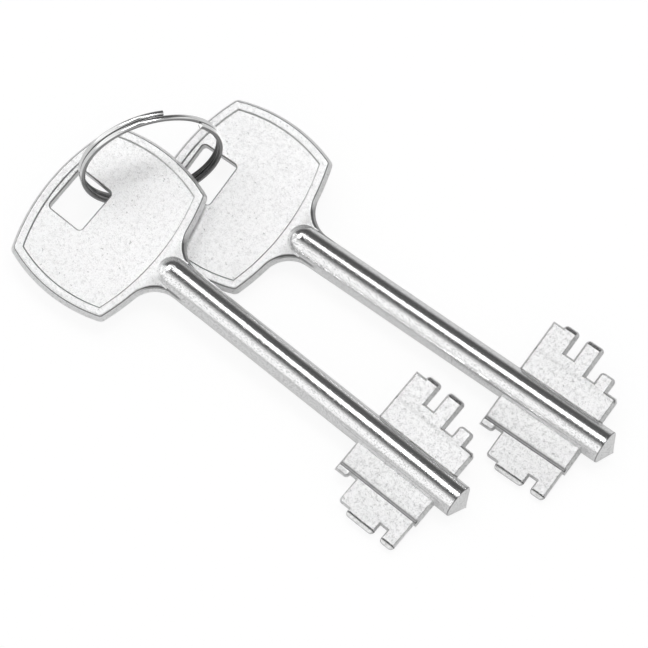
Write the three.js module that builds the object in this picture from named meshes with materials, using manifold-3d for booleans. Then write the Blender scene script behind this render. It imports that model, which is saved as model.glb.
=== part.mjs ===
// Two alike double-bitted lock keys on a split ring, lying as a dropped pair lies on a table.
// Millimetres, +Z up. Each key is one casting, the ring one length of wound wire.
// The back key lies on the table, the front key's bow lies on the back key's bow,
// and the ring stands through the holes of both bows.
import * as THREE from 'three';
import { mergeVertices } from 'three/addons/utils/BufferGeometryUtils.js';
import Module from 'manifold-3d';

const wasm = await Module();
wasm.setup();

// A key's own frame: x runs along the shank from the bow's far edge to the tip, y across, z through it.
const KEY_LENGTH = 90;
const CLEARANCE = 0.3; // between pieces that touch

// The bow: a barrel shape of four arcs, with a raised rim round a shallow recess on both faces
const BOW_LENGTH = 23.85; // far edge to the near arc, on the axis
const BOW_WIDTH = 30.2; // at the faces, across the middle
const BOW_THICKNESS = 2.9;
const BOW_DRAFT = 0.7; // how far the parting line stands out past the faces' edges
const FAR_RADIUS = 35.5;
const SIDE_RADIUS = 27;
const SIDE_MIDDLE = 12.15; // where the bow is widest
const NEAR_RADIUS = 41.5;
const RIM_WIDTH = 1.2;
const RECESS_DEPTH = 0.3;

// The rectangular hole for the ring
const HOLE_START = 2.3;
const HOLE_LENGTH = 7.1;
const HOLE_WIDTH = 8.6;
const HOLE_CORNER = 0.8;

// The neck, whose hollow sides run out into the shank
const NECK_RADIUS = 6.1;
const NECK_WIDTH = 4.4; // at the faces, where it enters the shank
const NECK_END = 33;

// The shank: a round bar with a domed end on the bow and a conical point
const SHANK_DIAMETER = 6;
const DOME_START = 23.2;
const POINT_LENGTH = 1.65;

// The bit: a flat blank through the shank, with a full-length step in its two wings and cuts in its edges
const BIT_START = 69.2; // at the faces
const BIT_LENGTH = 15.8;
const BIT_REACH = 13.1; // axis to the blank's outer edge, at the faces
const BIT_THICKNESS = 2.3;
const BIT_DRAFT = 0.55;
const STEP_START = 6.9; // axis to the top of the step
const STEP_RUN = 0.5;
const STEP_DROP = 0.5;
// The wings' cut edges, from the bow's end on, at the faces. The last step takes what is left of the bit.
const UPPER_STEPS = [
  { width: 2, reach: 12.35 },
  { width: 2.05, reach: BIT_REACH },
  { width: 2.5, reach: 8.8 },
  { width: 2.5, reach: BIT_REACH },
  { width: 2.55, reach: 7.55 },
  { width: 2, reach: 9.9 },
  { reach: 7.25 },
];
const LOWER_STEPS = [
  { width: 1.7, reach: 8.2 },
  { width: 2.25, reach: 7.4 },
  { width: 2.3, reach: 12 },
  { width: 4.85, reach: BIT_REACH },
  { width: 2.45, reach: 10.8 },
  { reach: BIT_REACH },
];

// The split ring: flat wire in an even coil of a little under two turns
const RING_DIAMETER = 24.8;
const WIRE_WIDTH = 0.75; // along the ring's axis
const WIRE_HEIGHT = 0.85; // radially
const WIRE_CORNER = 0.2; // its chamfered corners
const COIL_GAP = 0.43; // from each turn to the next
const BACK_END_ANGLE = 75; // degrees from the ring's right side, where the wire ends at the back
const FRONT_END_ANGLE = 42; // where it ends in front
const STEPS_A_TURN = 40;

// How the pieces lie, in degrees and millimetres. A key's place is that of its hole's middle. It turns
// about the upright, slopes down to its tip, and leans until its lower wing touches the table.
const BACK_KEY = { holeX: -19.8, holeY: 25.15, turn: -36.1 };
const FRONT_KEY = { holeX: -40.9, holeY: 19.8, turn: -39.9 };
const RING_LEAN = 8.2;
// Where the ring's middle circle passes through each hole, from the hole's middle
const BACK_WIRE = { along: -1.05, across: 0.6 };
const FRONT_WIRE = { along: 0.75, across: 2.45 };
const WIRE_UNDER_BOW = 6.1; // from the ring's foot, sideways, to where the back bow lies on it
const BOW_OVER_WIRE = 1.5; // across the back key, from its axis to the same spot
// Where the front key's shank lies over the back bow's side, on the front key
const CROSSING_ALONG = 26.3;
const CROSSING_ACROSS = 2.3;

const NICKEL = { color: 0xd9dadb, roughness: 0.34, metalness: 0.95 };
const STEEL = { color: 0xb9bbbe, roughness: 0.2, metalness: 1 };

const shankRadius = SHANK_DIAMETER / 2;
const radians = THREE.MathUtils.degToRad;

function toSolid(geometry) {
  const bare = geometry.index ? geometry.toNonIndexed() : geometry.clone();
  bare.deleteAttribute('normal');
  bare.deleteAttribute('uv');
  const merged = mergeVertices(bare, 1e-4);
  return new wasm.Manifold(new wasm.Mesh({
    numProp: 3,
    vertProperties: new Float32Array(merged.attributes.position.array),
    triVerts: new Uint32Array(merged.index.array),
  }));
}

function toGeometry(solid) {
  const mesh = solid.getMesh();
  const geometry = new THREE.BufferGeometry();
  geometry.setAttribute('position', new THREE.BufferAttribute(mesh.vertProperties, 3));
  geometry.setIndex(new THREE.BufferAttribute(mesh.triVerts, 1));
  geometry.computeVertexNormals();
  return geometry;
}

// A plate of full thickness whose faces have the shape's outline and whose parting line stands out by draft
function draftedPlate(shape, thickness, draft, curveSegments = 5) {
  const land = 0.1; // the narrow flat at the parting line
  const plate = new THREE.ExtrudeGeometry(shape, {
    depth: land,
    bevelEnabled: true,
    bevelThickness: (thickness - land) / 2,
    bevelSize: draft,
    bevelSegments: 1,
    curveSegments,
  });
  plate.translate(0, 0, -land / 2);
  return toSolid(plate);
}

// The meeting point of two circles that lies on the +y side
function meet(a, b) {
  const gap = b.centre.clone().sub(a.centre);
  const distance = gap.length();
  const along = (distance ** 2 + a.radius ** 2 - b.radius ** 2) / (2 * distance);
  const aside = Math.sqrt(a.radius ** 2 - along ** 2);
  gap.normalize();
  const foot = a.centre.clone().addScaledVector(gap, along);
  const normal = new THREE.Vector2(-gap.y, gap.x).multiplyScalar(aside);
  const one = foot.clone().add(normal);
  const other = foot.clone().sub(normal);
  return one.y > other.y ? one : other;
}

// The bow's far, side and near arcs, drawn in by inset
function bowArcs(inset) {
  const sideCentre = new THREE.Vector2(SIDE_MIDDLE, BOW_WIDTH / 2 - SIDE_RADIUS);
  return {
    far: { centre: new THREE.Vector2(FAR_RADIUS, 0), radius: FAR_RADIUS - inset },
    side: { centre: sideCentre, radius: SIDE_RADIUS - inset },
    near: { centre: new THREE.Vector2(BOW_LENGTH - NEAR_RADIUS, 0), radius: NEAR_RADIUS - inset },
  };
}

// Adds the stretch of an arc from one point to the next; mirrored arcs have their centre on the other side
function addArc(shape, arc, from, to, clockwise, mirrored = false) {
  const centreY = mirrored ? -arc.centre.y : arc.centre.y;
  const angle = (point) => Math.atan2(point.y - centreY, point.x - arc.centre.x);
  shape.absarc(arc.centre.x, centreY, arc.radius, angle(from), angle(to), clockwise);
}

const flip = (point) => new THREE.Vector2(point.x, -point.y);

function bowShape() {
  const { far, side, near } = bowArcs(0);
  const farCorner = meet(far, side);
  const nearCorner = meet(side, near);
  const neckCentre = new THREE.Vector2(0, NECK_WIDTH / 2 + NECK_RADIUS);
  const reach = NEAR_RADIUS + NECK_RADIUS;
  neckCentre.x = near.centre.x + Math.sqrt(reach ** 2 - neckCentre.y ** 2);
  const neckStart = neckCentre.clone().sub(near.centre).setLength(NEAR_RADIUS).add(near.centre);
  const neckEnd = new THREE.Vector2(neckCentre.x, NECK_WIDTH / 2);
  const neck = { centre: neckCentre, radius: NECK_RADIUS };
  const shape = new THREE.Shape();
  shape.moveTo(farCorner.x, farCorner.y);
  addArc(shape, far, farCorner, flip(farCorner), false);
  addArc(shape, side, flip(farCorner), flip(nearCorner), false, true);
  addArc(shape, near, flip(nearCorner), flip(neckStart), false);
  addArc(shape, neck, flip(neckStart), flip(neckEnd), true, true);
  shape.lineTo(NECK_END, -NECK_WIDTH / 2);
  shape.lineTo(NECK_END, NECK_WIDTH / 2);
  addArc(shape, neck, neckEnd, neckStart, true);
  addArc(shape, near, neckStart, nearCorner, false);
  addArc(shape, side, nearCorner, farCorner, false);
  return shape;
}

function recessShape() {
  const { far, side, near } = bowArcs(RIM_WIDTH);
  const farCorner = meet(far, side);
  const nearCorner = meet(side, near);
  const shape = new THREE.Shape();
  shape.moveTo(farCorner.x, farCorner.y);
  addArc(shape, far, farCorner, flip(farCorner), false);
  addArc(shape, side, flip(farCorner), flip(nearCorner), false, true);
  addArc(shape, near, flip(nearCorner), nearCorner, false);
  addArc(shape, side, nearCorner, farCorner, false);
  return shape;
}

function holeShape() {
  const left = HOLE_START;
  const right = HOLE_START + HOLE_LENGTH;
  const half = HOLE_WIDTH / 2;
  const quarter = Math.PI / 2;
  const shape = new THREE.Shape();
  shape.absarc(right - HOLE_CORNER, half - HOLE_CORNER, HOLE_CORNER, 0, quarter, false);
  shape.absarc(left + HOLE_CORNER, half - HOLE_CORNER, HOLE_CORNER, quarter, 2 * quarter, false);
  shape.absarc(left + HOLE_CORNER, HOLE_CORNER - half, HOLE_CORNER, 2 * quarter, 3 * quarter, false);
  shape.absarc(right - HOLE_CORNER, HOLE_CORNER - half, HOLE_CORNER, 3 * quarter, 4 * quarter, false);
  return shape;
}

function prism(shape, fromZ, toZ, curveSegments = 5) {
  const solid = new THREE.ExtrudeGeometry(shape, { depth: toZ - fromZ, bevelEnabled: false, curveSegments });
  solid.translate(0, 0, fromZ);
  return toSolid(solid);
}

function bow() {
  const face = BOW_THICKNESS / 2;
  const floor = face - RECESS_DEPTH;
  const recess = recessShape();
  return draftedPlate(bowShape(), BOW_THICKNESS, BOW_DRAFT)
    .subtract(prism(recess, floor, face + 1))
    .subtract(prism(recess, -face - 1, -floor))
    .subtract(prism(holeShape(), -face - 1, face + 1, 2));
}

function shank() {
  const domeSteps = 6;
  const domeCentre = DOME_START + shankRadius;
  const profile = [];
  for (let i = 0; i <= domeSteps; i += 1) {
    const angle = (i / domeSteps) * (Math.PI / 2);
    const along = domeCentre - shankRadius * Math.cos(angle);
    profile.push(new THREE.Vector2(shankRadius * Math.sin(angle), along));
  }
  profile.push(new THREE.Vector2(shankRadius, KEY_LENGTH - POINT_LENGTH));
  profile.push(new THREE.Vector2(0, KEY_LENGTH));
  const bar = new THREE.LatheGeometry(profile, 32);
  bar.rotateZ(-Math.PI / 2);
  return toSolid(bar);
}

// The wedge that the step takes off one wing, along the whole bit
function stepWedge(reach) {
  const face = BIT_THICKNESS / 2;
  const shape = new THREE.Shape([
    new THREE.Vector2(STEP_START, face),
    new THREE.Vector2(STEP_START + STEP_RUN, face - STEP_DROP),
    new THREE.Vector2(reach, face - STEP_DROP),
    new THREE.Vector2(reach, face + 1),
    new THREE.Vector2(STEP_START, face + 1),
  ]);
  const wedge = new THREE.ExtrudeGeometry(shape, { depth: BIT_LENGTH + 4, bevelEnabled: false });
  wedge.rotateX(Math.PI / 2);
  wedge.rotateZ(Math.PI / 2);
  return wedge.translate(BIT_START - 2, 0, 0);
}

// The stepped edge of one wing, on the side that sign gives, from the bow's end to the tip's
function wingEdge(steps, sign) {
  const points = [];
  let from = BIT_START;
  for (const step of steps) {
    const to = step.width === undefined ? BIT_START + BIT_LENGTH : from + step.width;
    points.push(new THREE.Vector2(from, sign * step.reach), new THREE.Vector2(to, sign * step.reach));
    from = to;
  }
  return points;
}

function bit() {
  const outline = [...wingEdge(LOWER_STEPS, -1), ...wingEdge(UPPER_STEPS, 1).reverse()];
  const plate = draftedPlate(new THREE.Shape(outline), BIT_THICKNESS, BIT_DRAFT);
  // the step is on the upper wing's underside and on the lower wing's top, a half turn apart
  const beyond = BIT_REACH + BIT_DRAFT + 1;
  const underside = toSolid(stepWedge(beyond).rotateX(Math.PI));
  return plate.subtract(toSolid(stepWedge(beyond))).subtract(underside);
}

function keySolid() {
  return bow().add(shank()).add(bit());
}

const coilRadius = (RING_DIAMETER - WIRE_HEIGHT) / 2; // to the wire's middle
const coilPitch = WIRE_WIDTH + COIL_GAP;
const twoStrands = WIRE_WIDTH + coilPitch;

// The wire's middle at an angle round the ring's z axis. The coil runs from the back towards +z.
function wireMiddle(angle) {
  const halfway = 2 * Math.PI + radians((BACK_END_ANGLE + FRONT_END_ANGLE) / 2);
  const axial = (coilPitch * (angle - halfway)) / (2 * Math.PI);
  return new THREE.Vector3(coilRadius * Math.cos(angle), coilRadius * Math.sin(angle), axial);
}

// The wire's section at an angle: a chamfered rectangle, as points in space
function wireSection(angle) {
  const middle = wireMiddle(angle);
  const outward = new THREE.Vector3(Math.cos(angle), Math.sin(angle), 0);
  const wide = WIRE_WIDTH / 2;
  const high = WIRE_HEIGHT / 2;
  const innerWide = wide - WIRE_CORNER;
  const innerHigh = high - WIRE_CORNER;
  const corners = [
    [innerHigh, -wide], [high, -innerWide], [high, innerWide], [innerHigh, wide],
    [-innerHigh, wide], [-high, innerWide], [-high, -innerWide], [-innerHigh, -wide],
  ];
  return corners.map(([out, front]) => {
    const point = middle.clone().addScaledVector(outward, out);
    point.z += front;
    return point;
  });
}

function wireSections(stepsATurn) {
  const start = radians(BACK_END_ANGLE);
  const sweep = 4 * Math.PI - radians(BACK_END_ANGLE - FRONT_END_ANGLE);
  const steps = Math.round((stepsATurn * sweep) / (2 * Math.PI));
  return Array.from({ length: steps + 1 }, (_, i) => wireSection(start + (sweep * i) / steps));
}

function ringGeometry() {
  const sections = wireSections(STEPS_A_TURN);
  const sides = sections[0].length;
  const last = (sections.length - 1) * sides;
  const faces = [];
  for (let i = 0; i < last; i += sides) {
    for (let j = 0; j < sides; j += 1) {
      const next = (j + 1) % sides;
      faces.push(i + j, i + sides + j, i + next, i + next, i + sides + j, i + sides + next);
    }
  }
  for (let j = 1; j < sides - 1; j += 1) {
    faces.push(0, j, j + 1, last, last + j + 1, last + j);
  }
  const geometry = new THREE.BufferGeometry().setFromPoints(sections.flat());
  geometry.setIndex(faces);
  geometry.computeVertexNormals();
  return geometry;
}

// The least distance between the turns, over points that lie a half turn or more apart on the wire
function leastCoilGap() {
  const finer = 4 * STEPS_A_TURN;
  const sections = wireSections(finer);
  const apart = finer / 2;
  let least = Infinity;
  sections.forEach((section, i) => {
    for (const other of sections.slice(i + apart)) {
      for (const point of section) {
        for (const far of other) least = Math.min(least, point.distanceTo(far));
      }
    }
  });
  return least;
}

// The lean at which the shank and the lower wing's edge both touch the table
function restingLean() {
  const halfBit = BIT_THICKNESS / 2;
  return Math.asin(shankRadius / Math.hypot(BIT_REACH, halfBit)) - Math.atan2(halfBit, BIT_REACH);
}

// The slope of a key that stands on its tip and whose axis is at a height, at a place along it
function restingSlope(height, along) {
  return Math.asin((height - shankRadius) / (KEY_LENGTH - along));
}

// The back bow's underside lies on the ring, where the wire comes up from its foot.
function backKeySlope() {
  const leaning = radians(RING_LEAN);
  const foot = WIRE_HEIGHT * Math.cos(leaning) + twoStrands * Math.sin(leaning);
  const inner = RING_DIAMETER / 2 - WIRE_HEIGHT;
  const rise = inner - Math.sqrt(inner ** 2 - WIRE_UNDER_BOW ** 2);
  const underside = foot + rise + CLEARANCE;
  return restingSlope(underside + BOW_THICKNESS / 2 - BOW_OVER_WIRE * Math.sin(lean), HOLE_START);
}

// The front key's shank lies on the back bow's lower side.
function frontKeySlope(backSlope) {
  const backAxis = shankRadius + (KEY_LENGTH - SIDE_MIDDLE) * Math.sin(backSlope);
  const backTop = backAxis - (BOW_WIDTH / 2) * Math.sin(lean) + (BOW_THICKNESS / 2) * Math.cos(lean);
  const drop = Math.sqrt(shankRadius ** 2 - CROSSING_ACROSS ** 2) - CROSSING_ACROSS * Math.sin(lean);
  return restingSlope(backTop + CLEARANCE + drop, CROSSING_ALONG);
}

// Sets a key down so that the end of its shank touches the table under the point
function placeKey(mesh, lie, slope) {
  mesh.rotation.set(lean, slope, radians(lie.turn), 'ZYX');
  mesh.updateMatrixWorld(true);
  const hole = mesh.localToWorld(new THREE.Vector3(HOLE_START + HOLE_LENGTH / 2, 0, 0));
  const shankEnd = mesh.localToWorld(new THREE.Vector3(KEY_LENGTH - POINT_LENGTH, 0, 0));
  mesh.position.set(lie.holeX - hole.x, lie.holeY - hole.y, shankRadius * Math.cos(slope) - shankEnd.z);
  mesh.updateMatrixWorld(true);
}

function wirePoint(mesh, offset) {
  return mesh.localToWorld(new THREE.Vector3(HOLE_START + HOLE_LENGTH / 2 + offset.along, offset.across, 0));
}

// Stands the ring on the table at its lean, with its plane through two points and its middle over theirs
function placeRing(mesh, first, second) {
  const leaning = radians(RING_LEAN);
  const chord = second.clone().sub(first).normalize();
  const heading = Math.atan2(chord.y, chord.x);
  const facing = heading - Math.acos((-Math.tan(leaning) * chord.z) / Math.hypot(chord.x, chord.y));
  const front = new THREE.Vector3(Math.cos(facing), Math.sin(facing), Math.tan(leaning)).normalize();
  const upright = new THREE.Vector3().crossVectors(chord, front);
  if (upright.z < 0) upright.negate();
  const side = new THREE.Vector3(-front.y, front.x, 0).normalize();
  const up = new THREE.Vector3().crossVectors(front, side);
  mesh.setRotationFromMatrix(new THREE.Matrix4().makeBasis(side, up, front));
  const height = -new THREE.Box3().setFromObject(mesh, true).min.z;
  const middle = first.clone().add(second).divideScalar(2);
  mesh.position.copy(middle.addScaledVector(upright, (height - middle.z) / upright.z));
  mesh.updateMatrixWorld(true);
}

function metal(look) {
  return new THREE.MeshStandardMaterial(look);
}

function keyMesh(name, lie, slope) {
  const mesh = new THREE.Mesh(toGeometry(keySolid()), metal(NICKEL));
  mesh.name = name;
  placeKey(mesh, lie, slope);
  return mesh;
}

const lean = restingLean();
const backSlope = backKeySlope();
const backKey = keyMesh('back_key', BACK_KEY, backSlope);
const frontKey = keyMesh('front_key', FRONT_KEY, frontKeySlope(backSlope));
const ring = new THREE.Mesh(ringGeometry(), metal(STEEL));
ring.name = 'split_ring';
placeRing(ring, wirePoint(frontKey, FRONT_WIRE), wirePoint(backKey, BACK_WIRE));
console.log(`split ring: least gap between its turns ${leastCoilGap().toFixed(2)} mm`);

// The origin is on the table, under the middle of the whole.
const pair = new THREE.Group();
pair.add(frontKey, backKey, ring);
const bounds = new THREE.Box3().setFromObject(pair, true);
const middle = bounds.getCenter(new THREE.Vector3());
pair.position.set(-middle.x, -middle.y, -bounds.min.z);

const object = new THREE.Group();
object.add(pair);

export default object;
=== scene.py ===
import math

import bmesh
import bpy
from mathutils import Euler, Matrix, Vector


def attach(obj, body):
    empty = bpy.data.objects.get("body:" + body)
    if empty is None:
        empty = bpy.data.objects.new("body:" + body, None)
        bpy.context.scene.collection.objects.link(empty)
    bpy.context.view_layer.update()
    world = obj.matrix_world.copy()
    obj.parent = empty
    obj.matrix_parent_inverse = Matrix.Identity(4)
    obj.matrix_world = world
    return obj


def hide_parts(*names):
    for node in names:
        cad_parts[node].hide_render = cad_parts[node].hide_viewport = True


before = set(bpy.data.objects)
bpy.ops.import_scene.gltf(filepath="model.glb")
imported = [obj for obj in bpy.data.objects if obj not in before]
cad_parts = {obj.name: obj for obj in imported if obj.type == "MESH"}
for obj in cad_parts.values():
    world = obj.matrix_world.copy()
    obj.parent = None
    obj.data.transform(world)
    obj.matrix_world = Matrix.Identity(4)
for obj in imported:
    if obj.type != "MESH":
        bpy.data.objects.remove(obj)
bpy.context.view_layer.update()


# The bow: the flat head of one key, cast with its shank in zinc and nickel plated.
# A barrel shape of four arcs with a raised rim round a shallow recess on both faces.
# It is modelled in the key's own frame, in millimetres: x runs from the far edge to the tip.
BOW_LENGTH = 23.85
BOW_WIDTH = 30.2
BOW_THICKNESS = 2.9
FACE = BOW_THICKNESS / 2
BOW_DRAFT = 0.68  # how far the walls lean out between the face and the parting line
WALL_BEND = 0.3  # the rounding between face and wall
WALL_SLOPE = 64
FAR_RADIUS = 35.5
SIDE_RADIUS = 27
SIDE_MIDDLE = 12.15
NEAR_RADIUS = 41.5
CORNER_CUT = 0.16
NECK_RADIUS = 6.1
NECK_HALF = 2.2
NECK_END = 33
FAR_STEPS = 28
SIDE_STEPS = 20
NEAR_STEPS = 30
NEAR_PART_STEPS = 8  # on either side of the neck
NECK_STEPS = 12
RIM_WIDTH = 1.2
RECESS_DEPTH = 0.3
RECESS_START = RIM_WIDTH - 0.07
RECESS_EDGE = 0.12
RECESS_SLOPE = 60
RECESS_WALL = (0.09, -0.16)
RECESS_FILLET = 0.16
HOLE_START = 2.3
HOLE_LENGTH = 7.1
HOLE_WIDTH = 8.5
HOLE_CORNER = 0.8
HOLE_EDGE = 0.16
HOLE_SLOPE = 80
HOLE_FLARE = 0.15  # how much wider the hole is at its rounded edge
HOLE_DRAFT = 0.08
CUT_ABOVE = 1  # how far above the face a cut starts
MERGE = 0.002  # points nearer than this become one
MERGE_FINE = 0.0005
UPRIGHT = Vector((0, 0, 1))


def verts_in(geom):
    return [part for part in geom if isinstance(part, bmesh.types.BMVert)]


def faces_in(geom):
    return [part for part in geom if isinstance(part, bmesh.types.BMFace)]


def point(bm, x, y, z=0.0):
    return bmesh.ops.create_vert(bm, co=(x, y, z))["vert"][0]


def line_to(bm, tip, x, y, z):
    """A straight edge from the tip; returns the new tip."""
    made = bmesh.ops.extrude_vert_indiv(bm, verts=[tip])["verts"][0]
    made.co = (x, y, z)
    return made


def arc_to(bm, tip, centre, x, y, steps, clockwise=False):
    """An arc round a centre, level with the tip; returns the new tip."""
    start = math.atan2(tip.co.y - centre[1], tip.co.x - centre[0])
    turn = (math.atan2(y - centre[1], x - centre[0]) - start) % math.tau
    if clockwise:
        turn -= math.tau
    middle = (centre[0], centre[1], tip.co.z)
    swept = bmesh.ops.spin(bm, geom=[tip], cent=middle, axis=UPRIGHT, angle=turn, steps=steps)
    return verts_in(swept["geom_last"])[0]


def closed_face(bm):
    """Joins the chain's ends and makes its one face, facing up."""
    bmesh.ops.remove_doubles(bm, verts=bm.verts, dist=MERGE)
    face = bmesh.ops.contextual_create(bm, geom=bm.edges[:])["faces"][0]
    face.normal_update()
    if face.normal.z < 0:
        face.normal_flip()
    return face


def rounded(bm, geom, affect, offset, segments):
    bmesh.ops.bevel(bm, geom=geom, affect=affect, offset=offset, segments=segments,
                    profile=0.5, material=-1)


def stepped(bm, face, steps):
    """Insets the face by pairs of inward distance and rise, one after the other."""
    for inward, rise in steps:
        bmesh.ops.inset_region(bm, faces=[face], use_boundary=True, use_even_offset=True,
                               thickness=inward, depth=rise)


def bend(radius, first, last, segments, side=1):
    """Pairs for stepped that go down an arc from one slope to another, in degrees."""
    slopes = [math.radians(first + (last - first) * i / segments) for i in range(segments + 1)]
    turn = 1 if last > first else -1
    return [(side * turn * radius * (math.sin(b) - math.sin(a)),
             turn * radius * (math.cos(b) - math.cos(a)))
            for a, b in zip(slopes, slopes[1:])]


def outward(bm):
    bmesh.ops.recalc_face_normals(bm, faces=bm.faces)


def both_halves(bm):
    """Mirrors an open upper half under the parting line and joins the two."""
    bmesh.ops.mirror(bm, geom=bm.verts[:] + bm.edges[:] + bm.faces[:], axis="Z", merge_dist=MERGE)
    bmesh.ops.remove_doubles(bm, verts=bm.verts, dist=MERGE_FINE)
    outward(bm)


def meeting(a, b):
    """Where two circles (x, y, radius) meet on the +y side."""
    between = Vector((b[0] - a[0], b[1] - a[1]))
    apart = between.length
    along = (apart ** 2 + a[2] ** 2 - b[2] ** 2) / (2 * apart)
    aside = math.sqrt(a[2] ** 2 - along ** 2)
    between.normalize()
    spots = [(a[0] + between.x * along - between.y * way, a[1] + between.y * along + between.x * way)
             for way in (aside, -aside)]
    return max(spots, key=lambda spot: spot[1])


def bow_circles(inset):
    """The far, side and near arcs as circles (x, y, radius), drawn in by inset."""
    return ((FAR_RADIUS, 0, FAR_RADIUS - inset),
            (SIDE_MIDDLE, BOW_WIDTH / 2 - SIDE_RADIUS, SIDE_RADIUS - inset),
            (BOW_LENGTH - NEAR_RADIUS, 0, NEAR_RADIUS - inset))


def draw_barrel(bm, inset, height, neck):
    """The bow's outline drawn in by inset, with or without the neck: its one face and its corners."""
    far, side, near = bow_circles(inset)
    far_x, far_y = meeting(far, side)
    near_x, near_y = meeting(side, near)
    start = point(bm, far_x, far_y, height)
    tip = arc_to(bm, start, far[:2], far_x, -far_y, FAR_STEPS)
    corners = [start, tip]
    tip = arc_to(bm, tip, (side[0], -side[1]), near_x, -near_y, SIDE_STEPS)
    corners.append(tip)
    if neck:
        neck_y = NECK_HALF + NECK_RADIUS
        neck_x = near[0] + math.sqrt((near[2] + NECK_RADIUS) ** 2 - neck_y ** 2)
        share = near[2] / (near[2] + NECK_RADIUS)
        join = (near[0] + (neck_x - near[0]) * share, neck_y * share)
        tip = arc_to(bm, tip, near[:2], join[0], -join[1], NEAR_PART_STEPS)
        tip = arc_to(bm, tip, (neck_x, -neck_y), neck_x, -NECK_HALF, NECK_STEPS, clockwise=True)
        tip = line_to(bm, tip, NECK_END, -NECK_HALF, height)
        tip = line_to(bm, tip, NECK_END, NECK_HALF, height)
        tip = line_to(bm, tip, neck_x, NECK_HALF, height)
        tip = arc_to(bm, tip, (neck_x, neck_y), join[0], join[1], NECK_STEPS, clockwise=True)
        tip = arc_to(bm, tip, near[:2], near_x, near_y, NEAR_PART_STEPS)
    else:
        tip = arc_to(bm, tip, near[:2], near_x, near_y, NEAR_STEPS)
    corners.append(tip)
    arc_to(bm, tip, side[:2], far_x, far_y, SIDE_STEPS)
    return closed_face(bm), corners


def add_bow(bm):
    """The bow's upper half, from its flat face out to the parting line, and its mirror image."""
    back = WALL_BEND * math.tan(math.radians(WALL_SLOPE / 2))
    _, corners = draw_barrel(bm, back, FACE, neck=True)
    rounded(bm, [corner for corner in corners if corner.is_valid], "VERTICES", CORNER_CUT, 3)
    face = next(iter(bm.faces))
    edge = bend(WALL_BEND, 0, WALL_SLOPE, 4, side=-1)
    out = back + sum(pair[0] for pair in edge)
    down = sum(pair[1] for pair in edge)
    moving = faces_in(bmesh.ops.extrude_face_region(bm, geom=[face], use_keep_orig=True)["geom"])[0]
    stepped(bm, moving, edge + [(-BOW_DRAFT - out, -FACE - down)])
    bmesh.ops.delete(bm, geom=[moving], context="FACES_ONLY")
    bmesh.ops.remove_doubles(bm, verts=bm.verts, dist=MERGE_FINE)
    both_halves(bm)


def pushed_down(bm, face, depth):
    """Moves a face straight down with walls behind it, and closes the shape it leaves with a lid."""
    lid = face.edges[:]
    moved = bmesh.ops.extrude_face_region(bm, geom=[face])["geom"]
    bmesh.ops.translate(bm, verts=verts_in(moved), vec=(0, 0, -depth))
    bmesh.ops.contextual_create(bm, geom=[e for e in lid if e.is_valid])
    return faces_in(moved)[0]


def add_recess(bm):
    """What the recess takes from the upper face, with its rounded edge and the fillet at its floor."""
    face, _ = draw_barrel(bm, RECESS_START, FACE + CUT_ABOVE, neck=False)
    face = pushed_down(bm, face, CUT_ABOVE)
    stepped(bm, face, bend(RECESS_EDGE, 0, RECESS_SLOPE, 3) + [RECESS_WALL]
            + bend(RECESS_FILLET, RECESS_SLOPE, 0, 3))
    outward(bm)


def add_hole(bm):
    """What the hole takes from the upper half, and its mirror image."""
    reach, side = HOLE_LENGTH / 2, HOLE_WIDTH / 2
    bmesh.ops.create_grid(bm, x_segments=1, y_segments=1, size=1)
    bmesh.ops.scale(bm, verts=bm.verts, vec=(reach + HOLE_FLARE, side + HOLE_FLARE, 1))
    bmesh.ops.translate(bm, verts=bm.verts, vec=(HOLE_START + reach, 0, FACE + CUT_ABOVE))
    rounded(bm, bm.verts[:], "VERTICES", HOLE_CORNER, 6)
    face = pushed_down(bm, next(iter(bm.faces)), CUT_ABOVE + RECESS_DEPTH)
    edge = bend(HOLE_EDGE, 0, HOLE_SLOPE, 4)
    stepped(bm, face, edge + [(HOLE_DRAFT, -FACE + RECESS_DEPTH - sum(pair[1] for pair in edge))])
    at_parting = [f for f in bm.faces if f.calc_center_median().z < 0.01]
    bmesh.ops.delete(bm, geom=at_parting, context="FACES_ONLY")
    both_halves(bm)


# The shank: a round bar with a domed end that stands out of the bow's faces and a conical point,
# and the soft fillet in which the casting runs from the bow's face up to the dome.
KEY_LENGTH = 90
SHANK_RADIUS = 3
SHANK_SIDES = 80
DOME_START = 23.2
DOME_MIDDLE = DOME_START + SHANK_RADIUS
DOME_STEPS = 12
POINT_LENGTH = 1.65
SHOULDER = KEY_LENGTH - POINT_LENGTH
FILLET = 0.5
FILLET_RUN = 1.1
FILLET_SUNK = 0.4  # how deep the fillet's section reaches into the bow


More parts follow.
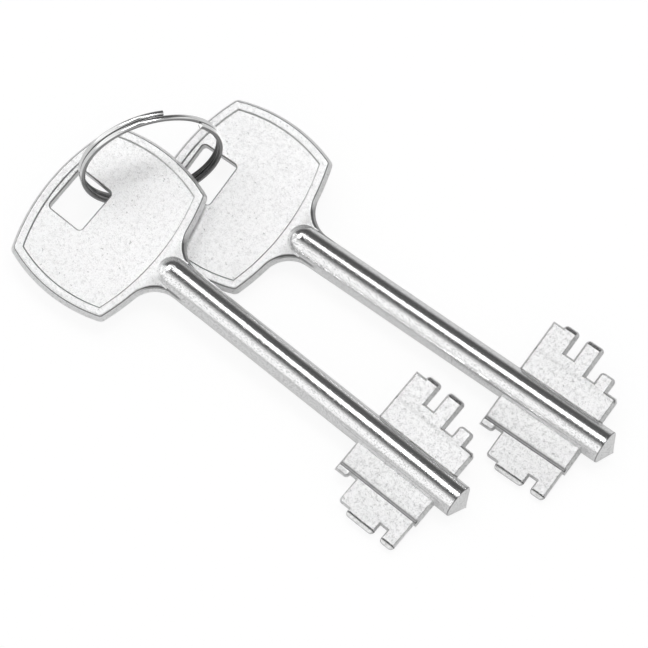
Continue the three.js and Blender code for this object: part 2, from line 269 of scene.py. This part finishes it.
def add_shank(bm):
    """The shank's half outline from dome to point, spun round its axis."""
    start = point(bm, DOME_START, 0, 0)
    swept = bmesh.ops.spin(bm, geom=[start], cent=(DOME_MIDDLE, 0, 0), axis=(0, 1, 0),
                           angle=math.pi / 2, steps=DOME_STEPS)
    tip = verts_in(swept["geom_last"])[0]
    for x in (33, 42, 51, 60, 69, 78, SHOULDER - 0.14):
        tip = line_to(bm, tip, x, 0, SHANK_RADIUS)
    # The shoulder is eased a little, and the cone ends in a small blunt tip.
    slope = SHANK_RADIUS / POINT_LENGTH
    tip = line_to(bm, tip, SHOULDER - 0.03, 0, SHANK_RADIUS - 0.03)
    tip = line_to(bm, tip, SHOULDER + 0.07, 0, SHANK_RADIUS - 0.07 * slope)
    for left in (0.45, 0.22, 0.1):
        tip = line_to(bm, tip, KEY_LENGTH - left - 0.08, 0, left * slope)
    tip = line_to(bm, tip, KEY_LENGTH - 0.1, 0, 0.08 * slope)
    line_to(bm, tip, KEY_LENGTH - 0.06, 0, 0)
    bmesh.ops.spin(bm, geom=bm.verts[:] + bm.edges[:], cent=(0, 0, 0), axis=(1, 0, 0),
                   angle=math.tau, steps=SHANK_SIDES, use_merge=True)
    bmesh.ops.remove_doubles(bm, verts=bm.verts, dist=MERGE)
    outward(bm)


def drawn_along(bm, faces, length):
    """Copies faces along the shank with walls between; returns the copies."""
    made = bmesh.ops.extrude_face_region(bm, geom=faces, use_keep_orig=True)["geom"]
    bmesh.ops.translate(bm, verts=verts_in(made), vec=(length, 0, 0))
    return faces_in(made)


def add_fillet(bm):
    """The fillet's section, turned half round the dome and drawn along both sides of the shank."""
    reach = SHANK_RADIUS + FILLET
    height = FACE + FILLET
    foot = math.sqrt(reach ** 2 - height ** 2)
    start = point(bm, 0, foot, FACE)
    swept = bmesh.ops.spin(bm, geom=[start], cent=(0, foot, height), axis=(1, 0, 0),
                           angle=-math.acos(height / reach), steps=7)
    tip = verts_in(swept["geom_last"])[0]
    tip = line_to(bm, tip, 0, 0.8 * tip.co.y, 0.8 * tip.co.z)
    tip = line_to(bm, tip, 0, tip.co.y, FACE - FILLET_SUNK)
    tip = line_to(bm, tip, 0, foot, FACE - FILLET_SUNK)
    bmesh.ops.contextual_create(bm, geom=[tip, start])
    section = bmesh.ops.contextual_create(bm, geom=bm.edges[:])["faces"]
    bmesh.ops.translate(bm, verts=bm.verts, vec=(DOME_MIDDLE + FILLET_RUN, 0, 0))
    end = drawn_along(bm, section, -FILLET_RUN)
    turned = bmesh.ops.spin(bm, geom=end, cent=(DOME_MIDDLE, 0, 0), axis=UPRIGHT,
                            angle=math.pi, steps=24)["geom_last"]
    inner = end + faces_in(turned)
    drawn_along(bm, inner[1:], FILLET_RUN)
    bmesh.ops.delete(bm, geom=inner, context="FACES_ONLY")
    bmesh.ops.remove_doubles(bm, verts=bm.verts, dist=MERGE_FINE)
    outward(bm)


# The bit: two wings cast with the shank, each cut to its own steps of width and reach,
# and offset in height so that a full-length step runs along both faces, a half turn apart.
BIT_START = 69.2
UPPER_END = 85.05
LOWER_END = 84.6
BIT_REACH = 13.1
BIT_FACE = 1.15
BIT_DRAFT = 0.5
STEP_EDGE = 7.33
STEP_BEND = 0.46
STEP_FLOOR = 0.65
END_SLOPE = math.radians(33)
END_BEVEL = 0.42  # how far the slant reaches back on a face
TOOTH_CORNER = 0.26
LEVEL_ROUNDING = 0.12
SHARP = math.radians(40)
UPPER_STEPS = ((2.0, 12.35), (2.05, BIT_REACH), (2.5, 8.8), (2.5, BIT_REACH), (2.55, 7.55),
               (2.0, 9.9), (2.25, 7.25))
LOWER_STEPS = ((1.7, 8.2), (2.25, 7.4), (2.3, 12.0), (4.85, BIT_REACH), (2.45, 10.8),
               (1.85, BIT_REACH))


def holes_closed(bm):
    bmesh.ops.holes_fill(bm, edges=[e for e in bm.edges if e.is_boundary])


def add_wing(bm, steps, end):
    """One wing with the bit's middle, from its upper face down to the other face's step."""
    start = point(bm, BIT_START, -STEP_EDGE, BIT_FACE)
    tip = line_to(bm, start, end, -STEP_EDGE, BIT_FACE)
    x = end
    for width, reach in reversed(steps):
        tip = line_to(bm, tip, x, reach, BIT_FACE)
        x = BIT_START if (width, reach) == steps[0] else x - width
        tip = line_to(bm, tip, x, reach, BIT_FACE)
    bmesh.ops.contextual_create(bm, geom=[tip, start])
    top = closed_face(bm)
    teeth = [c.vert for c in top.loops
             if c.is_convex and c.vert.co.y > SHANK_RADIUS + 1 and c.vert.co.x > BIT_START + 0.1]
    rounded(bm, teeth, "VERTICES", TOOTH_CORNER, 3)
    top = next(iter(bm.faces))
    under = BIT_DRAFT * STEP_FLOOR / BIT_FACE
    stepped(bm, top, [(-BIT_DRAFT, -BIT_FACE), (under, -STEP_FLOOR)])
    holes_closed(bm)
    outward(bm)
    step = [e for e in bm.edges if e.is_manifold and e.calc_face_angle() > SHARP
            and all(v.co.y < 0.1 - STEP_EDGE and abs(v.co.z) > 0.3 for v in e.verts)]
    rounded(bm, step, "EDGES", STEP_BEND, 5)
    # The teeth's ends are cut back on a slant, above and below.
    for y, z in ((BIT_REACH - END_BEVEL, BIT_FACE),
                 (BIT_REACH + BIT_DRAFT - under - END_BEVEL, -STEP_FLOOR)):
        across = (0, math.sin(END_SLOPE), math.copysign(math.cos(END_SLOPE), z))
        bmesh.ops.bisect_plane(bm, geom=bm.verts[:] + bm.edges[:] + bm.faces[:],
                               plane_co=(0, y, z), plane_no=across, clear_outer=True)
        holes_closed(bm)
    outward(bm)
    level = [e for e in bm.edges if len(e.link_faces) == 2 and e.calc_face_angle() > SHARP
             and abs(e.verts[0].co.z - e.verts[1].co.z) < 0.01 and abs(e.verts[0].co.z) > 0.3]
    rounded(bm, level, "EDGES", LEVEL_ROUNDING, 3)
    outward(bm)


def add_upper_wing(bm):
    add_wing(bm, UPPER_STEPS, UPPER_END)


def add_lower_wing(bm):
    add_wing(bm, LOWER_STEPS, LOWER_END)


# The casting: bow, shank, wings and fillets run together in one mould, which leaves out the
# recesses and the hole. What lies on the lower face is made for the upper one and turned over.
def in_scene(name, data):
    """An object with this mesh, lamp or camera."""
    made = bpy.data.objects.new(name, data)
    bpy.context.scene.collection.objects.link(made)
    return made


def shaped(name, builder):
    """A mesh from a function that fills a bmesh."""
    bm = bmesh.new()
    builder(bm)
    mesh = bpy.data.meshes.new(name)
    bm.to_mesh(mesh)
    bm.free()
    return mesh


def turned_over(mesh):
    mesh.transform(Matrix.Rotation(math.pi, 4, "X"))
    return mesh


whole = in_scene("bow", shaped("bow", add_bow))
cut_out = [in_scene("upper recess", shaped("upper recess", add_recess)),
           in_scene("lower recess", turned_over(shaped("lower recess", add_recess))),
           in_scene("hole", shaped("hole", add_hole))]
cast_on = [in_scene("shank", shaped("shank", add_shank)),
           in_scene("upper wing", shaped("upper wing", add_upper_wing)),
           in_scene("lower wing", turned_over(shaped("lower wing", add_lower_wing))),
           in_scene("upper fillet", shaped("upper fillet", add_fillet)),
           in_scene("lower fillet", turned_over(shaped("lower fillet", add_fillet)))]
for part in cut_out + cast_on:
    join = whole.modifiers.new(part.name, "BOOLEAN")
    join.operation = "DIFFERENCE" if part in cut_out else "UNION"
    join.solver = "MANIFOLD"
    join.object = part
bpy.context.view_layer.update()
joined = whole.evaluated_get(bpy.context.evaluated_depsgraph_get())
casting = bpy.data.meshes.new_from_object(joined)
for part in [whole] + cut_out + cast_on:
    bpy.data.objects.remove(part)


# The two keys: the same casting twice, nickel plated, each where the CAD model has it.
# The plating is grainy and pitted on the cast faces and smoother on the shank, with painted shade
# along edges and in corners, and its random marks differ on the two keys.
MM = 0.001
FRONT_PLACE = (Vector((-43.614, 25.108, 6.365)),
               Euler([math.radians(a) for a in (8.17, 2.184, -39.9)]))
BACK_PLACE = (Vector((-22.756, 30.154, 4.406)),
              Euler([math.radians(a) for a in (8.17, 0.912, -36.1)]))


class Link:
    """A socket in a node graph. Arithmetic on links adds Math nodes."""

    def __init__(self, tree, socket=None):
        self.tree = tree
        self.socket = socket

    def node(self, kind, settings, inputs, output=0):
        """A node with its settings made first, then the values or links of its sockets."""
        made = self.tree.nodes.new(kind)
        for name, value in settings.items():
            if name == "stops":
                ramp = made.color_ramp
                while len(ramp.elements) < len(value):
                    ramp.elements.new(0.5)
                for element, (place, level) in zip(ramp.elements, value):
                    element.position = place
                    element.color = (level, level, level, 1)
            else:
                setattr(made, name, value)
        for name, value in inputs.items():
            if isinstance(value, Link):
                self.tree.links.new(value.socket, made.inputs[name])
            else:
                made.inputs[name].default_value = value
        return Link(self.tree, made.outputs[output])

    def math(self, operation, first, second=0.0):
        return self.node("ShaderNodeMath", {"operation": operation}, {0: first, 1: second})

    def __add__(self, other):
        return self.math("ADD", self, other)

    __radd__ = __add__

    def __sub__(self, other):
        return self.math("SUBTRACT", self, other)

    def __rsub__(self, other):
        return self.math("SUBTRACT", other, self)

    def __mul__(self, other):
        return self.math("MULTIPLY", self, other)

    __rmul__ = __mul__

    def __abs__(self):
        return self.math("ABSOLUTE", self)

    def square_root(self):
        return self.math("SQRT", self)

    def at_least(self, least):
        return self.math("MAXIMUM", self, least)

    def at_most(self, most):
        return self.math("MINIMUM", self, most)

    def between(self, low, high):
        """0 below low, 1 above high, and smooth from one to the other."""
        return self.node("ShaderNodeMapRange", {"interpolation_type": "SMOOTHSTEP"},
                         {"Value": self, "From Min": low, "From Max": high})

    def band(self, low, high, soft):
        """1 between low and high, and smoothly 0 outside them."""
        return self.between(low - soft, low) * (1 - self.between(high, high + soft))

    def xyz(self):
        """The three parts of a vector."""
        return [self.node("ShaderNodeSeparateXYZ", {}, {"Vector": self}, part) for part in "XYZ"]

    def into(self, socket):
        self.tree.links.new(self.socket, socket)


def new_material(name):
    """A material, the start of its node graph and its Principled shader's inputs."""
    material = bpy.data.materials.new(name)
    material.use_nodes = True
    shader = material.node_tree.nodes["Principled BSDF"]
    return material, Link(material.node_tree), shader.inputs


def own_point(graph, place, turn):
    """The shaded point in a piece's own frame, in millimetres."""
    point_here = graph.node("ShaderNodeTexCoord", {}, {}, "Object")
    return graph.node("ShaderNodeMapping", {"vector_type": "TEXTURE"},
                      {"Vector": point_here, "Location": place * MM, "Rotation": turn,
                       "Scale": (MM, MM, MM)})


def grey(graph, level, blue=1.0):
    return graph.node("ShaderNodeCombineXYZ", {}, {"X": level, "Y": level, "Z": level * blue})


def nickel(name, place, seed, painted_shade_level):
    """Nickel plating, grainy and pitted, with painted shade along its edges and in its corners and
    creases.
    """
    material, graph, shader = new_material(name)
    own = own_point(graph, *place)
    x, y, z = own.xyz()
    height = abs(z)
    aside = abs(y)

    def noise(scale, detail, roughness, offset=0.0, stretch=(1, 1, 1)):
        moved = graph.node("ShaderNodeMapping", {},
                           {"Vector": own, "Location": (offset, seed, 0), "Scale": stretch})
        return graph.node("ShaderNodeTexNoise", {},
                          {"Vector": moved, "Scale": scale, "Detail": detail,
                           "Roughness": roughness})

    # Where on the key the point is: how far from the shank's axis, the recess and the hole.
    before = (DOME_MIDDLE - x).at_least(0.0)
    from_axis = (y * y + z * z + before * before).square_root()
    bar = 1 - from_axis.between(SHANK_RADIUS + 0.01, SHANK_RADIUS + 0.04)
    in_bow = 1 - x.between(NECK_END - 0.5, NECK_END + 0.5)
    in_bit = (x.between(BIT_START - 0.6, BIT_START - 0.5)
              * aside.between(SHANK_RADIUS - 0.1, SHANK_RADIUS + 0.1))
    at_bit = x.band(BIT_START - 0.5, UPPER_END + 0.5, 0.05)
    lowered = in_bit * aside.between(STEP_EDGE, STEP_EDGE + 0.05) * (1 - (y * z).between(-0.2, 0.0))
    arcs = [((x - middle) * (x - middle) + (aside - low) * (aside - low)).square_root() - radius
            for middle, low, radius in bow_circles(RIM_WIDTH)]
    from_recess = arcs[0].at_least(arcs[1]).at_least(arcs[2])
    inward = (abs(x - HOLE_START - HOLE_LENGTH / 2) - HOLE_LENGTH / 2 + HOLE_CORNER).at_least(0.0)
    sideward = (aside - HOLE_WIDTH / 2 + HOLE_CORNER).at_least(0.0)
    from_hole = (inward * inward + sideward * sideward).square_root() - HOLE_CORNER

    # Painted shade, first as thin dark lines along the edges of the bow, the recess, the hole and the
    # bit, where their rounded edges mirror dark surroundings.
    bow_edge = (height.band(FACE - 0.25, FACE - 0.08, 0.03) * in_bow
                * from_recess.between(0.3, 0.5) * (1 - bar))
    recess_edge = (from_recess.band(-0.25, -0.07, 0.03) * height.between(1.1, 1.13)
                   * (1 - y.between(0, 8) * 0.5))
    hole_edge = from_hole.band(-0.1, 0.19, 0.04) * height.between(0.9, 0.95)
    bit_edge = height.band(BIT_FACE - 0.11, BIT_FACE - 0.03, 0.02) * in_bit * 0.4
    step_line = height.band(STEP_FLOOR - 0.11, STEP_FLOOR - 0.03, 0.02) * lowered * 0.4
    edges = bow_edge + recess_edge + hole_edge + bit_edge + step_line
    # Then painted shade in the throat between bow and shank, in the step's crease and on its wall,
    # as dark lines on the teeth's ends and the point's shoulder, and round the bit's root; and the
    # casting's real seam beside the bit.
    throat = (height.band(0.85, 1.42, 0.05) * x.band(25, 29.5, 1.5) * 0.55
              + height.band(0.1, 1.38, 0.08) * x.band(24.5, 30, 1.0) * y.between(1.5, 2.5) * 0.5)
    crease = (height.band(0.6, 0.84, 0.05) * in_bit
              * aside.band(STEP_EDGE - 0.25, STEP_EDGE + 0.14, 0.04))
    riser = (height.band(0.6, 1.08, 0.1) * in_bit
             * aside.band(STEP_EDGE - 0.5, STEP_EDGE + 0.1, 0.1))
    lip = (aside.band(BIT_REACH - 0.3, BIT_REACH - 0.17, 0.03) * lowered
           + x.band(SHOULDER - 0.15, SHOULDER - 0.01, 0.04) * 0.6)
    root = (from_axis.band(SHANK_RADIUS + 0.02, SHANK_RADIUS + 0.15, 0.03) * at_bit
            * (1 - height.between(1.25, 1.3)) * (0.12 + 0.58 * y.between(0, 1)))
    seam = y.band(-2.4, -2.36, 0.03) * x.band(66, 86, 1.0) * z.between(0, 0.1)
    patches = noise(0.25, 3, 0.55, 7)
    # The real seam and all the painted shade together, capped, darken the plating.
    seam_and_painted_shade = (root * (0.4 + patches) + seam * patches * 0.6 + edges * (0.5 + patches * 0.4)
            + throat + crease * 0.85 + riser * 0.35 + lip * 0.9)
    painted_shade_and_seam_capped = seam_and_painted_shade.at_most(0.85)

    # The grain and pits of the casting, and the fine streaks along the shank.
    grain = noise(3.0, 3, 0.7)
    pits = noise(1.5, 2, 0.6, 11).between(0.66, 0.74)
    streaks = noise(5.0, 2, 0.6, 5, (0.6, 1, 1))
    specks = noise(4.2, 2, 0.75, 41).between(0.5, 0.62)
    relief = (grain * 0.8 - pits * 0.4) * (1 - bar) + streaks * bar
    bump = graph.node("ShaderNodeBump", {},
                      {"Height": relief, "Strength": 0.6, "Distance": 0.03 * MM})
    bump.into(shader["Normal"])

    # The cast faces are mottled and smudged, a little darker on the bit.
    mottling = noise(5.5, 3, 0.85, 17) * 0.6 + noise(1.5, 3, 0.7, 23) * 0.4
    smudges = (noise(0.45, 4, 0.7, 31).between(0.58, 0.72)
               + (1 - x.between(1.0, 2.8)) * mottling.between(0.35, 0.65))
    cast_level = (1.0 - mottling.between(0.47, 0.62) * (0.23 + 0.14 * at_bit)
                  - specks * 0.08 - pits * 0.35 - smudges * 0.08)
    bar_level = 0.97 - specks * 0.26
    # The whole back key's level is dimmed here as a painted shade, the bit a little more; the seam and
    # the painted edge and corner shade come last.
    level = (cast_level * (painted_shade_level - 0.1 * at_bit) * (1 - bar) + bar_level * bar) * (1 - painted_shade_and_seam_capped)
    grey(graph, level, 1.002).into(shader["Base Color"])
    ends = aside.between(BIT_REACH - 0.46, BIT_REACH - 0.4) * at_bit
    cast_rough = 0.36 - ends * 0.2 + (patches - 0.5) * 0.08 + specks * 0.12
    bar_rough = 0.13 + specks * 0.14
    (cast_rough * (1 - bar) + bar_rough * bar).into(shader["Roughness"])
    (0.9 + 0.1 * bar).into(shader["Metallic"])
    return material


SMOOTH_UP_TO = math.radians(31.5)


def finished(name, mesh, place, material, body):
    """Sets a mesh down at its place, in metres, with flat faces flat and round ones smooth."""
    mesh.transform(Matrix.Scale(MM, 4) @ Matrix.Translation(place[0]) @ place[1].to_matrix().to_4x4())
    mesh.materials.clear()
    mesh.materials.append(material)
    mesh.shade_smooth()
    mesh.set_sharp_from_angle(angle=SMOOTH_UP_TO)
    piece = in_scene(name, mesh)
    flat = piece.modifiers.new("flat faces", "WEIGHTED_NORMAL")
    flat.keep_sharp = True
    flat.mode = "FACE_AREA"
    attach(piece, body)
    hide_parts(body)


front_nickel = nickel("front key nickel", FRONT_PLACE, 0.0, 1.0)
finished("safe_key_front", casting.copy(), FRONT_PLACE, front_nickel, "front_key")
# The back key gets the same plating painted 7% darker all over, a painted shade.
back_nickel = nickel("back key nickel", BACK_PLACE, 37.0, 0.93)
finished("safe_key_back", casting.copy(), BACK_PLACE, back_nickel, "back_key")


# The split ring: flat spring wire, polished, wound a little under two turns through both holes,
# its two ends cut square. The wire's section is spun along a helix from its back end.
RING_MIDDLE = Vector((-27.313, 26.433, 12.338))
RING_SIDE = Vector((0.96002, 0.27995, 0))
RING_FRONT = Vector((0.27708, -0.9502, 0.14263))
RING_RADIUS = 12.35
RING_STEPS = 300
WIRE_HEIGHT = 0.85
WIRE_WIDTH = 0.98
WIRE_CORNER = 0.34
WIRE_PITCH = 1.06
BACK_END = math.radians(75)
FRONT_END = math.radians(762)


def add_wire(bm):
    """The ring's wire, a rounded section drawn round its helix."""
    bmesh.ops.create_grid(bm, x_segments=1, y_segments=1, size=0.5)
    bmesh.ops.scale(bm, verts=bm.verts, vec=(WIRE_HEIGHT, WIRE_WIDTH, 1))
    rounded(bm, bm.verts[:], "VERTICES", WIRE_CORNER, 4)
    upright_section = Matrix.Rotation(math.pi / 2, 3, "X")
    bmesh.ops.rotate(bm, verts=bm.verts, cent=(0, 0, 0), matrix=upright_section)
    sweep = FRONT_END - BACK_END
    rise = WIRE_PITCH * sweep / math.tau
    bmesh.ops.translate(bm, verts=bm.verts, vec=(RING_RADIUS - WIRE_HEIGHT / 2, 0, -rise / 2))
    to_back_end = Matrix.Rotation(BACK_END, 3, "Z")
    bmesh.ops.rotate(bm, verts=bm.verts, cent=(0, 0, 0), matrix=to_back_end)
    bmesh.ops.spin(bm, geom=bm.verts[:] + bm.edges[:] + bm.faces[:], cent=(0, 0, 0), axis=UPRIGHT,
                   dvec=(0, 0, rise / RING_STEPS), angle=sweep, steps=RING_STEPS)
    outward(bm)


def spring_steel(name, place):
    """Polished wire: scratches along it, with painted shade on the inner face and between the turns.
    """
    material, graph, shader = new_material(name)
    x, y, z = own_point(graph, *place).xyz()
    angle = graph.math("ARCTAN2", y, x)
    out = (x * x + y * y).square_root()
    unwound = z - angle * (WIRE_PITCH / math.tau)
    along_wire = graph.node("ShaderNodeCombineXYZ", {},
                            {"X": out * 3.0, "Y": unwound * 3.0, "Z": angle * 1.2})
    scratches = graph.node("ShaderNodeTexNoise", {},
                           {"Vector": along_wire, "Scale": 2.0, "Detail": 3, "Roughness": 0.6})
    bump = graph.node("ShaderNodeBump", {},
                      {"Height": scratches, "Strength": 0.05, "Distance": 0.01 * MM})
    bump.into(shader["Normal"])
    (0.13 + scratches * 0.08).into(shader["Roughness"])
    middle_turns = (BACK_END + FRONT_END) / (2 * math.tau)
    across = graph.math("FRACT", unwound * (1 / WIRE_PITCH) + middle_turns + 2.5)
    off_middle = abs(across - 0.5) * WIRE_PITCH
    inner_radius = RING_RADIUS - WIRE_HEIGHT
    # Painted shade: the inner face is darkened, and a dark line is painted where the turns meet.
    shaded_inner_face = 1 - out.between(inner_radius + 0.04, inner_radius + 0.25)
    level = ((0.88 + scratches * 0.1) * (1 - shaded_inner_face * 0.75)
             * (1 - off_middle.between(0.37, 0.44) * 0.6))
    grey(graph, level).into(shader["Base Color"])
    shader["Metallic"].default_value = 1.0
    return material


RING_PLACE = (RING_MIDDLE,
              Matrix((RING_SIDE, RING_FRONT.cross(RING_SIDE), RING_FRONT)).transposed().to_euler())
finished("wound_ring", shaped("wire", add_wire), RING_PLACE, spring_steel("ring steel", RING_PLACE),
         "split_ring")


# The table: a plain sheet of paper under the keys. The camera sees it nearly white, with the
# keys' shadow on it, and the light that it sends back to the keys is a plain grey sheet's.
table_mesh = shaped("table", lambda bm: bmesh.ops.create_grid(bm, x_segments=1, y_segments=1, size=6))
table = in_scene("table", table_mesh)
paper = bpy.data.materials.new("white table")
paper.use_nodes = True
table_mesh.materials.append(paper)
paper_nodes = paper.node_tree.nodes
paper_nodes.remove(paper_nodes["Principled BSDF"])
graph = Link(paper.node_tree)


def ray(graph, kind):
    return graph.node("ShaderNodeLightPath", {}, {}, kind)


def sheet_seen(own, glow):
    """The sheet's own grey under the lamps, with an even glow added."""
    diffuse = graph.node("ShaderNodeBsdfDiffuse", {}, {"Color": (own, own, own, 1)})
    emission = graph.node("ShaderNodeEmission", {}, {"Color": (1, 1, 1, 1), "Strength": glow})
    return graph.node("ShaderNodeAddShader", {}, {0: diffuse, 1: emission})


seen = (ray(graph, "Is Camera Ray") + ray(graph, "Is Transmission Ray")
        + ray(graph, "Is Glossy Ray") * 0.3)
sheet = graph.node("ShaderNodeMixShader", {},
                   {0: seen, 1: sheet_seen(0.54, 0.05), 2: sheet_seen(0.15, 0.88)})
sheet.into(paper_nodes["Material Output"].inputs["Surface"])


# The studio: a soft light from the front left, a paler side beyond the keys' tips, and three
# white cards, which the metal mirrors. The camera sees plain white behind the table's edge.
FRONT_LEFT = (-0.678, -0.491, 0.5465)
SHANKS_WAY = (0.788, -0.616, 0)  # the way the keys' tips point, on the table
SOFT_LIGHT = ((0.5, 0.08), (0.66, 0.05), (0.7, 0.06), (0.8, 0.24), (0.87, 0.5), (0.93, 0.9),
              (0.98, 1.0))
# Each card: the way to it, how near that way its edge starts and ends, and its strength.
SIDE_CARD = ((-0.88, 0.33, 0.34), 0.86, 0.94, 0.8)
FACE_CARD = ((0.16, 0.191, 0.968), 0.983, 0.992, 8.2)
TOP_CARD = ((-0.46, 0.36, 0.812), 0.972, 0.988, 3.0)
FILL_LIGHT = 0.6
world = bpy.data.worlds.new("studio")
world.use_nodes = True
bpy.context.scene.world = world
graph = Link(world.node_tree)
direction = graph.node("ShaderNodeTexCoord", {}, {})  # the way a ray looks into the room


def facing(way):
    """How much a ray agrees with this way, from -1 to 1."""
    return graph.node("ShaderNodeVectorMath", {"operation": "DOT_PRODUCT"},
                      {0: direction, 1: way}, "Value")


soft_light = graph.node("ShaderNodeValToRGB", {"stops": SOFT_LIGHT}, {"Fac": facing(FRONT_LEFT)})
at_tips = facing(SHANKS_WAY).between(0.08, 0.27)
upward = direction.xyz()[2]
above = upward.between(0.0, 0.35)
tips_light = 0.75 - upward.between(0.5, 0.85) * 0.55
studio = (soft_light * (1 - at_tips) + tips_light * at_tips) * above + 0.5 * (1 - above)
for way, edge, full, strength in (SIDE_CARD, FACE_CARD, TOP_CARD):
    studio = studio + facing(way).between(edge, full) * strength
diffuse_ray = ray(graph, "Is Diffuse Ray")
camera_ray = ray(graph, "Is Camera Ray") + ray(graph, "Is Transmission Ray")
studio = studio * (1 - diffuse_ray) + FILL_LIGHT * diffuse_ray
studio = studio * (1 - camera_ray) + camera_ray
background = world.node_tree.nodes["Background"].inputs
studio.into(background["Strength"])
background["Color"].default_value = (1, 1, 1, 1)


# The lamp: a long strip softbox above and behind the keys, in line with their shanks,
# which mirror it as one white line. A strength of 1 is mirrored as plain white.
STRIP_WAY = Vector((0.0402, 0.4289, 0.9026)).normalized()
STRIP_AWAY = 2.0
STRIP_WIDTH = 0.42
STRIP_LENGTH = 2.44
STRIP_STRENGTH = 1.25
WHITE_WATTS = 4  # from a square metre of lamp, at a strength of 1
lamp = bpy.data.lights.new("strip softbox", "AREA")
lamp.shape = "RECTANGLE"
lamp.size = STRIP_LENGTH
lamp.size_y = STRIP_WIDTH
lamp.energy = WHITE_WATTS * STRIP_STRENGTH * STRIP_WIDTH * STRIP_LENGTH
strip = in_scene("strip softbox", lamp)
strip_side = STRIP_WAY.cross(Vector(SHANKS_WAY)).normalized()
strip_turn = Matrix((strip_side.cross(STRIP_WAY), strip_side, STRIP_WAY)).transposed().to_4x4()
strip.matrix_world = Matrix.Translation(STRIP_WAY * STRIP_AWAY) @ strip_turn
strip.visible_camera = False


# The camera: a long lens, nearly upright over the table, as the photograph was taken.
# Its aim, height and distance come from the fit of both keys' corners.
CAMERA_AIM = Vector((1.77, 1.558, 0)) * MM
CAMERA_HEIGHT = math.radians(67.82)
CAMERA_AWAY = 1.195
CAMERA_LENS = 395
lens = bpy.data.cameras.new("camera")
lens.sensor_width = 36
lens.lens = CAMERA_LENS
camera = in_scene("camera", lens)
towards_camera = Vector((0, -math.cos(CAMERA_HEIGHT), math.sin(CAMERA_HEIGHT)))
camera.location = CAMERA_AIM + CAMERA_AWAY * towards_camera
camera.rotation_euler = Euler((math.pi / 2 - CAMERA_HEIGHT, 0, 0))
bpy.context.scene.camera = camera
bpy.context.scene.view_settings.view_transform = "Standard"
